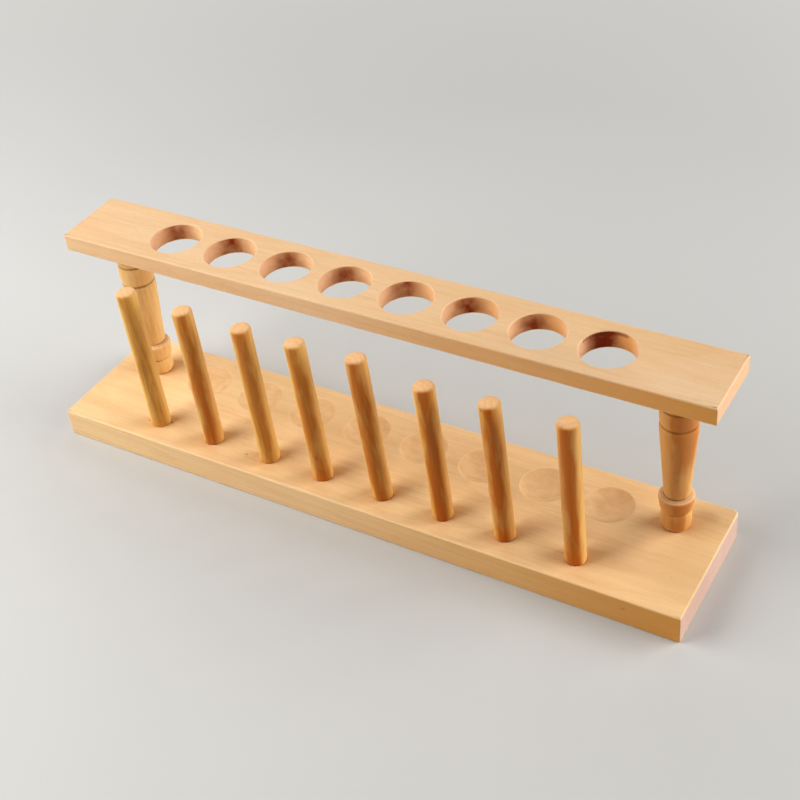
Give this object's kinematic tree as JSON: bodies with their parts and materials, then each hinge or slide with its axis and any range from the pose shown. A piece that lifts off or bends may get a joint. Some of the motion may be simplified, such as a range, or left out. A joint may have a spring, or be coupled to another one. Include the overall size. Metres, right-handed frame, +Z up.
{
  "type": "test tube rack",
  "caption": "Low wooden laboratory rack: two turned posts carry a drilled top board over a long base board with shallow seats, and drying pegs stand in front.",
  "frame": {"origin": "middle of the base board's underside, which is the bottom centre of the whole rack", "axes": "+X along the rack, +Y from the row of pegs to the row of holes, +Z up"},
  "size_m": [0.281, 0.059, 0.087],
  "materials": {
    "board_wood": "sanded, unvarnished pale hardwood, satin",
    "post_wood": "turned, unvarnished hardwood, satin",
    "peg_wood": "raw dowel, streaky, satin"
  },
  "bodies": {
    "root": {"base_board": "board_wood", "top_board": "board_wood", "left_post": "post_wood", "right_post": "post_wood", "peg_1": "peg_wood", "peg_2": "peg_wood", "peg_3": "peg_wood", "peg_4": "peg_wood", "peg_5": "peg_wood", "peg_6": "peg_wood", "peg_7": "peg_wood", "peg_8": "peg_wood"}
  },
  "joints": []
}
